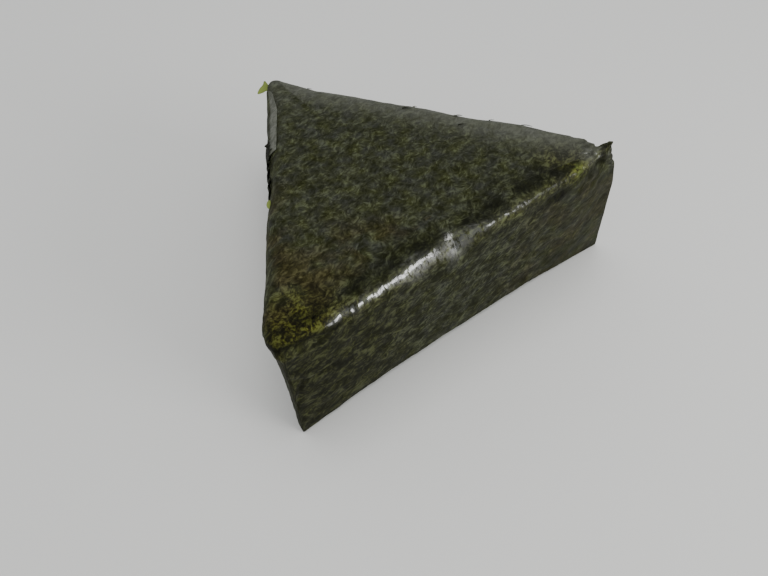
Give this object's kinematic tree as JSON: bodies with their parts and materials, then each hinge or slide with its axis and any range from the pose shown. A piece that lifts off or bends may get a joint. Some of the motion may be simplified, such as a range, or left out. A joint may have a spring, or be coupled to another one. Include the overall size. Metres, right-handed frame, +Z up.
{
  "type": "onigiri rice ball",
  "caption": "Triangular rice ball wrapped all over in a sheet of nori seaweed, lying on its flat side, with pinched sheet corners and folded flaps.",
  "frame": {"origin": "middle of the footprint on the surface it rests on, at the underside", "axes": "+X along the base from its rounded left end to the finned right end, +Y from the base to the apex, +Z up, through the thickness"},
  "size_m": [0.0892, 0.0704, 0.038],
  "materials": {
    "nori": "dried seaweed sheet, dark green-black, fine fibrous mottling, satin with glossy creases"
  },
  "bodies": {
    "root": {"onigiri": "nori"}
  },
  "joints": []
}
